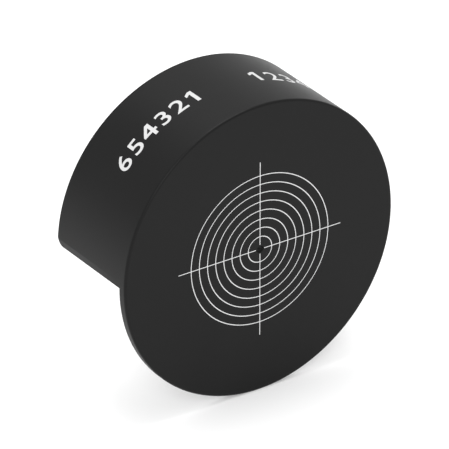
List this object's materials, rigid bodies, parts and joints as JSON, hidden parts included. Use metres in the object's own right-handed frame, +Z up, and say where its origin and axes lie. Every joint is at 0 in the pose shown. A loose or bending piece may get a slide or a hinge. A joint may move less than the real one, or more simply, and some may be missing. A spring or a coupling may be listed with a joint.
{
  "type": "lens mount alignment cap",
  "caption": "Alignment cap that hangs on a round lens mount: a thin target plate with a pinhole, rings and a cross, and a half-round skirt behind it.",
  "frame": {"origin": "on the optical axis, in the plate's back face, where the lens mount's front face seats", "axes": "+Z up, +Y along the optical axis into the lens mount, so the engraved target faces -Y; +X to the right for someone who faces the target"},
  "size_m": [0.033, 0.0124, 0.033],
  "materials": {
    "black_anodised": "matt black anodised over bead-blasted aluminium",
    "laser_marking": "pale dull laser marking: the target's lines, and plain numerals on the skirt"
  },
  "bodies": {
    "root": {"alignment_cap": "black_anodised"}
  },
  "joints": []
}
